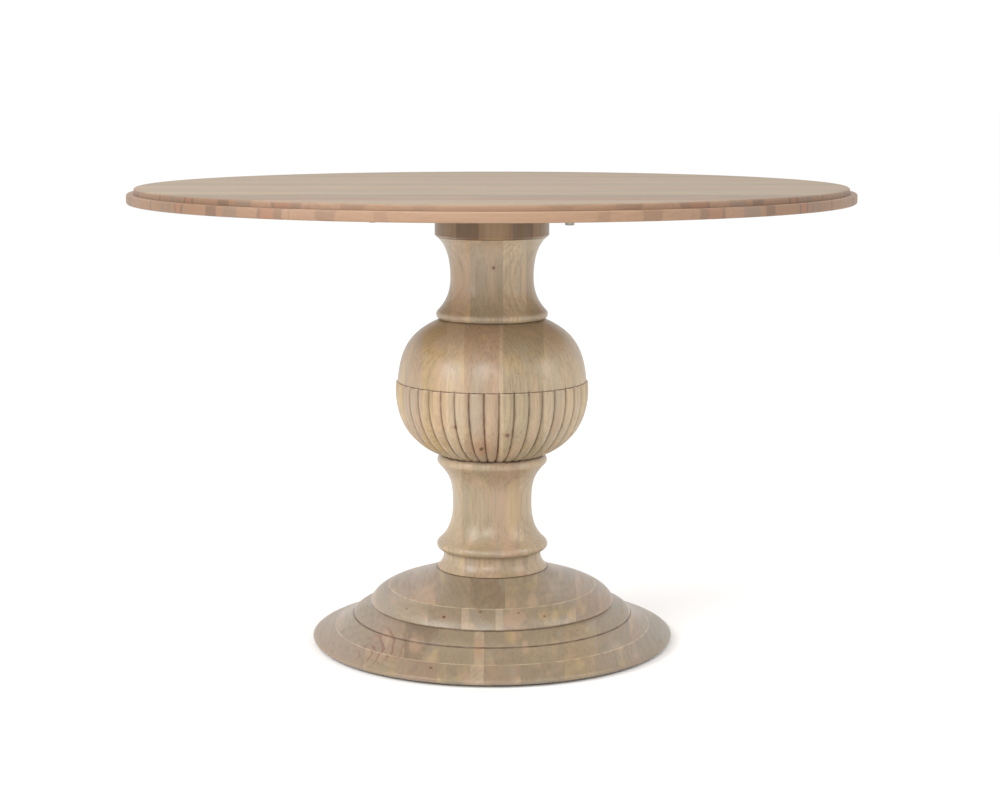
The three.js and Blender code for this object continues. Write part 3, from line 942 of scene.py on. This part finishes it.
baseShape = {
    "domeEdge": 2.3 * mm,
    "ringLedge": 1 * mm,
    "domeLeans": ((0.134, 0.5725), (0.597, 0.541)),
    "plinthNeck": 209 * mm,
    "groove": 242.3 * mm,
    "grooveDrop": 19.6 * mm,
    "grooveCut": 1.5 * mm,
    "plinthLeans": ((0.08, 0.25), (0.54, 0.23)),
    "rimHeight": 7.5 * mm,
    "underCut": 8 * mm,
    "rimLeans": ((0.5, 0), (1, 0.4)),
    "glueLine": 0.8 * mm,
    "wood": {
        "contrast": 1.35, "hueShare": 0.6, "level": 0.66, "saturation": 0.78,
        "poreStrength": 0.12, "streakStrength": 0.16,
    },
    "burr": {
        "place": (-0.184, -0.190, 0.036), "reach": 0.062, "spacing": 0.016, "heart": (-0.255, -0.19, 0.03),
    },
    "knots": {
        # x, y, z and radius
        "dome_lower": (
            (-0.0795, -0.1841, 0.084, 0.003), (-0.019, -0.185, 0.0932, 0.0022),
            (0.0442, -0.1848, 0.0911, 0.0018), (0.087, -0.1799, 0.0845, 0.0024),
            (-0.1432, -0.1372, 0.0857, 0.0018),
        ),
        "plinth_lower": ((-0.0983, -0.269, 0.0224, 0.003),),
        "plinth_upper": ((0.142, -0.175, 0.0597, 0.0014),),
    },
    "nutPocket": 14.9 * mm,
    "nutPocketDepth": 14.9 * mm,
    "around": 320,
}
baseBoards = {
    # where each board of the layer starts, from the left; they run front to back
    "dome_upper": [
        (-0.4, "brown"), (-0.163, "pink"), (-0.095, "taupe"), (-0.038, "brown"),
        (0.019, "greenTaupe"), (0.078, "taupe"), (0.141, "pink"),
    ],
    "dome_lower": [
        (-0.4, "pink"), (-0.1605, "beige"), (-0.108, "taupe"), (-0.053, "light"), (-0.038, "taupe"),
        (0.004, "light"), (0.017, "greyTaupe"), (0.058, "greenTaupe"), (0.139, "rose"),
    ],
    "plinth_upper": [
        (-0.4, "taupe"), (-0.201, "pink"), (-0.1445, "brown"), (-0.090, "greenTaupe"), (-0.030, "light"),
        (-0.013, "taupe"), (0.0475, "greenTaupe"), (0.1163, "yellow"), (0.1748, "taupe"), (0.232, "pink"),
    ],
    "plinth_lower": [
        (-0.4, "pink"), (-0.212, "yellow"), (-0.1547, "rose"), (-0.089, "greenTaupe"), (-0.0354, "light"),
        (-0.0148, "pink"), (0.0447, "taupe"), (0.1167, "yellow"), (0.166, "taupe"), (0.232, "greyTaupe"),
    ],
}


def baseWood(node, seed, **look):
    look = {**baseShape["wood"], **look, "spots": baseShape["knots"].get(node, ())}
    return woodMaterial(node + "Wood", baseBoards[node], "X", "Y", seed, reach=0.4, look=look)


def cutLayer(bm, joint, keepAbove):
    # keeps the part of a turned solid above or below a level joint, and closes it
    everything = bm.verts[:] + bm.edges[:] + bm.faces[:]
    normal = (0, 0, -1) if keepAbove else (0, 0, 1)
    bmesh.ops.bisect_plane(bm, geom=everything, plane_co=(0, 0, joint), plane_no=normal, clear_outer=True)
    loops = [edge for edge in bm.edges if edge.is_boundary]
    bmesh.ops.bridge_loops(bm, edges=loops)
    bmesh.ops.recalc_face_normals(bm, faces=bm.faces)
    return bm


def domeOutline():
    bottom = span("dome_lower")[0]
    top = span("dome_upper")[1]
    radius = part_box("dome_lower")[1].x
    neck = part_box("foot_ring")[1].x
    s = baseShape
    edgeFoot = (radius - 2 * mm, bottom)
    edgeTop = (radius, bottom + s["domeEdge"])
    crown = sweep(edgeTop, (neck + s["ringLedge"], top), s["domeLeans"], 64)
    return [
        # painted shade and dark wax under the dome's overhanging edge and at the foot ring's joint
        (radius - 3 * mm, bottom, 1),
        (*edgeFoot, 0.6),
        *curve(edgeFoot, (radius - 0.8 * mm, bottom), (radius, bottom + 0.8 * mm), edgeTop, 5),
        *crown[:-1],
        (*crown[-1], 0.7),
        (neck - 1 * mm, top, 1),
        *hollow(bottom, top, above=columnShape["spigotLength"]),
    ]


def paintGlue(bm, joint, height):
    # a thin pale line just under a joint between two layers
    creaseShadeAndGlue = bm.verts.layers.float["creaseShadeAndGlue"]
    for level in (joint - height, joint - height * 1.25):
        everything = bm.verts[:] + bm.edges[:] + bm.faces[:]
        bmesh.ops.bisect_plane(bm, geom=everything, plane_co=(0, 0, level), plane_no=(0, 0, 1))
    for vert in bm.verts:
        if vert.co.z > joint - height * 1.1:
            vert[creaseShadeAndGlue] = -1
        elif vert.co.z > joint - height * 1.3:
            vert[creaseShadeAndGlue] = 0


def dome():
    joint = span("dome_upper")[0]
    around = baseShape["around"]
    upper = cutLayer(turned(domeOutline(), around), joint, True)
    lower = cutLayer(turned(domeOutline(), around), joint, False)
    paintGlue(lower, joint, baseShape["glueLine"])
    finishPiece("domeUpper", upper, baseWood("dome_upper", 21), "dome_upper")
    finishPiece("domeLower", lower, baseWood("dome_lower", 22), "dome_lower")


def plinthOutline():
    s = baseShape
    bottom = span("plinth_lower")[0]
    top = span("dome_lower")[0]
    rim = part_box("plinth_lower")[1].x
    level = top - 0.3 * mm - s["grooveDrop"]
    groove = s["groove"]
    cut = s["grooveCut"]
    bore = columnShape["boreRadius"]
    pocket = s["nutPocket"]
    rimFoot = (rim - s["underCut"], bottom)
    rimTop = (rim, bottom + s["rimHeight"])
    grooveFoot = (groove + 1.2 * mm, level - cut)
    shoulder = (groove - cut - 0.6 * mm, level + cut + 0.8 * mm)
    shoulderLean = (groove - 8 * mm, mix(level, top, 0.38))
    neckLean = (s["plinthNeck"] + 18 * mm, mix(level, top, 0.52))
    neckFoot = (s["plinthNeck"] + 1.5 * mm, top - 2.6 * mm)
    return [
        rimFoot,
        *sweep(rimFoot, rimTop, s["rimLeans"], 8),
        *sweep(rimTop, grooveFoot, s["plinthLeans"], 44),
        # painted shade and dark wax in the groove and where the dome sits on the plinth
        (groove + 0.4 * mm, level - cut * 0.7, 0.2),
        (groove - cut, level - cut * 0.6, 0.9),
        (groove - cut - 0.3 * mm, level + cut * 0.1, 0.9),
        (groove - cut - 0.3 * mm, level + cut + 0.1 * mm, 0.1),
        *curve(shoulder, shoulderLean, neckLean, neckFoot, 12),
        (s["plinthNeck"], top - 1.2 * mm, 0.6),
        (s["plinthNeck"], top, 1),
        (bore, top),
        (bore, bottom + s["nutPocketDepth"]),
        (pocket, bottom + s["nutPocketDepth"]),
        (pocket, bottom),
    ]


def plinth():
    joint = span("plinth_upper")[0]
    around = baseShape["around"]
    upper = cutLayer(turned(plinthOutline(), around), joint, True)
    lower = cutLayer(turned(plinthOutline(), around), joint, False)
    paintGlue(lower, joint, baseShape["glueLine"])
    burr = baseShape["burr"]
    upperWood = baseWood("plinth_upper", 23, burr=burr)
    lowerWood = baseWood("plinth_lower", 24, burr=burr)
    finishPiece("plinthUpper", upper, upperWood, "plinth_upper")
    finishPiece("plinthLower", lower, lowerWood, "plinth_lower")


dome()
plinth()
print("base made")

# hardware and glides

hardware = {
    "around": 48,
    "hexAround": 24,
    "boltHeadHeight": 5.3 * mm,
    "boltAcross": 13 * mm,
    "boltRadius": 4 * mm,
    "nutAcross": 18 * mm,
    "rodRadius": 6 * mm,
    "clearance": 0.3 * mm,
    "chamfer": 0.7 * mm,
    "glidePin": 2 * mm,
    "glideThickness": 7 * mm,
    "glideSoft": 2.2 * mm,
    "glideBow": 0.9 * mm,
    # the plate's boards take dark tones as painted shadow under the top
    "plateBoards": [(-0.3, "tan"), (-0.11, "shade"), (0.02, "brown"), (0.13, "shade")],
}
metals = {name: metalMaterial(name + "Metal", **look) for name, look in metalLook.items()}


def numbered(prefix):
    return sorted(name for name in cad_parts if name.startswith(prefix))


def hexed(bm, across):
    # pushes the ring at half the width across flats out to a six-sided outline
    sixth = math.pi / 3
    for vert in bm.verts:
        reach = math.hypot(vert.co.x, vert.co.y)
        if abs(reach - across / 2) < snap:
            turn = math.atan2(vert.co.y, vert.co.x) % sixth - sixth / 2
            vert.co.x /= math.cos(turn)
            vert.co.y /= math.cos(turn)


def placed(name, bm, material, node):
    low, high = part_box(node)
    bmesh.ops.translate(bm, verts=bm.verts, vec=((low.x + high.x) / 2, (low.y + high.y) / 2, 0))
    finishPiece(name, bm, material, node)


def bolt(node, i):
    h = hardware
    low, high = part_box(node)
    face = low.z
    half = h["boltAcross"] / 2
    shank = h["boltRadius"]
    seat = face + h["boltHeadHeight"]
    bm = turned(
        [
            (0, face),
            (half * 0.9, face),
            (half, face + h["chamfer"]),
            (half, seat - 0.3 * mm),
            (half * 0.94, seat),
            (shank, seat),
            (shank, high.z - h["chamfer"]),
            (shank - h["chamfer"], high.z),
            (0, high.z),
        ],
        h["hexAround"],
        closed=False,
    )
    hexed(bm, h["boltAcross"])
    placed(f"topBolt{i + 1}", bm, metals["bolt"], node)


def ringPiece(name, node, inner, material):
    low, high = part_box(node)
    outer = (high.x - low.x) / 2
    soft = 0.3 * mm
    bm = turned(
        [
            (inner, low.z),
            (outer - soft, low.z),
            (outer, low.z + soft),
            (outer, high.z - soft),
            (outer - soft, high.z),
            (inner, high.z),
        ],
        hardware["around"],
    )
    placed(name, bm, material, node)


def lowerNut():
    h = hardware
    low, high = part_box("tie_nut_lower")
    half = h["nutAcross"] / 2
    bore = h["rodRadius"] + h["clearance"]
    bm = turned(
        [
            (bore, low.z + h["chamfer"]),
            (bore + h["chamfer"], low.z),
            (half * 0.92, low.z),
            (half, low.z + h["chamfer"]),
            (half, high.z - h["chamfer"]),
            (half * 0.92, high.z),
            (bore, high.z),
        ],
        h["hexAround"],
    )
    hexed(bm, h["nutAcross"])
    placed("lowerNut", bm, metals["rod"], "tie_nut_lower")


def glide(node, i, nylon):
    h = hardware
    low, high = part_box(node)
    radius = (high.x - low.x) / 2
    pad = h["glideThickness"]
    soft = h["glideSoft"]
    bow = h["glideBow"]
    bm = turned(
        [
            (0, 0),
            (radius - soft, 0),
            *curve((radius - soft, 0), (radius - bow, 0), (radius, bow), (radius, soft), 6),
            (radius, pad - 0.4 * mm),
            (radius - 0.4 * mm, pad),
            (h["glidePin"], pad),
            (h["glidePin"], high.z - h["glidePin"]),
            (0, high.z),
        ],
        h["around"],
        closed=False,
    )
    placed(f"glide{i + 1}", bm, nylon, node)


for i, node in enumerate(numbered("top_bolt_")):
    bolt(node, i)
boltBore = hardware["boltRadius"] + hardware["clearance"]
rodBore = hardware["rodRadius"] + hardware["clearance"]
for i, node in enumerate(numbered("top_washer_")):
    ringPiece(f"topWasher{i + 1}", node, boltBore, metals["bolt"])
ringPiece("lowerWasher", "tie_washer_lower", rodBore, metals["rod"])
lowerNut()
glideNylon = nylonMaterial()
for i, node in enumerate(numbered("glide_")):
    glide(node, i, glideNylon)

# the pieces inside the joints keep their own shapes
plateWood = woodMaterial("plateWood", hardware["plateBoards"], "Y", "X", 31, reach=0.3)
dowelWood = woodMaterial("dowelWood", [(-0.1, "light")], "X", "Z", 32, reach=0.1)
kept = {
    "mounting_plate": plateWood,
    "dowel_": dowelWood,
    "threaded_insert_": metals["brass"],
    "collar_screw_": metals["screw"],
    "tie_rod": metals["rod"],
    "tie_washer_upper": metals["rod"],
    "tie_nut_upper": metals["rod"],
}
for prefix, material in kept.items():
    for node in numbered(prefix):
        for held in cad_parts[node].material_slots:
            held.material = material
print("hardware made")

# the floor

floorSet = {"size": 200, "colour": 0.97, "roughness": 0.9}
floorMesh = bmesh.new()
bmesh.ops.create_grid(floorMesh, x_segments=1, y_segments=1, size=floorSet["size"] / 2)
floorData = bpy.data.meshes.new("floor")
floorMesh.to_mesh(floorData)
floorMesh.free()
floor = bpy.data.objects.new("floor", floorData)
bpy.context.collection.objects.link(floor)
floorPaint, _, floorShader = newMaterial("floorPaint")
floorShader.inputs["Base Color"].default_value = (*(floorSet["colour"],) * 3, 1)
floorShader.inputs["Roughness"].default_value = floorSet["roughness"]
floorShader.inputs["Specular IOR Level"].default_value = 0.0
floorData.materials.append(floorPaint)
